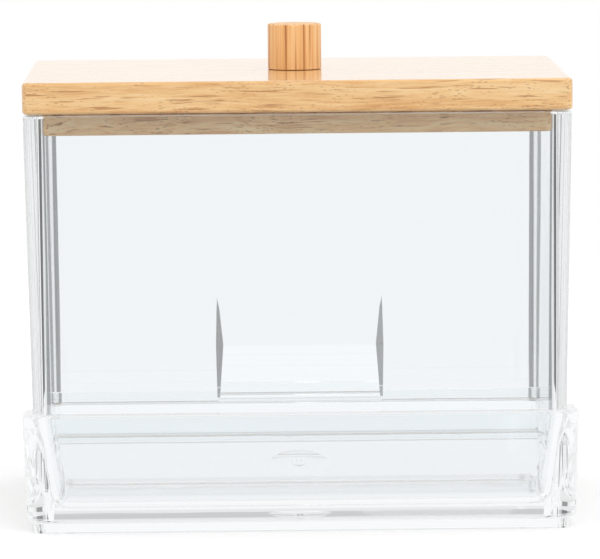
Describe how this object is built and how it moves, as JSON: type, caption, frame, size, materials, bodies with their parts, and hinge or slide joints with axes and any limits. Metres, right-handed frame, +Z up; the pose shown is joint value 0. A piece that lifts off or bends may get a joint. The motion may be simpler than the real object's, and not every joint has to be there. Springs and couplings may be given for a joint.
{
  "type": "cotton swab holder",
  "caption": "Clear plastic box that stores cotton swabs and lets them roll into a trough at its foot, with a lift-off wooden lid and knob.",
  "frame": {"origin": "on the table, under the middle of the whole holder", "axes": "+Z up, +X to the right as seen from the front, -Y out of the front, where the trough is"},
  "size_m": [0.0906, 0.0711, 0.0806],
  "materials": {
    "clear_plastic": "clear polished polystyrene",
    "lid_wood": "gloss lacquer over short dark pores",
    "plug_wood": "plain sanded wood",
    "knob_bamboo": "satin turned bamboo",
    "screw_steel": "zinc-plated"
  },
  "bodies": {
    "root": {"hopper": "clear_plastic", "base_tray": "clear_plastic"},
    "lid": {"lid_board": "lid_wood", "lid_plug": "plug_wood", "knob": "knob_bamboo", "knob_screw": "screw_steel"}
  },
  "joints": [
    {"name": "lid_lift", "type": "slide", "parent": "root", "child": "lid", "axis": [0, 0, 1], "range_m": [0, 0.09]}
  ]
}
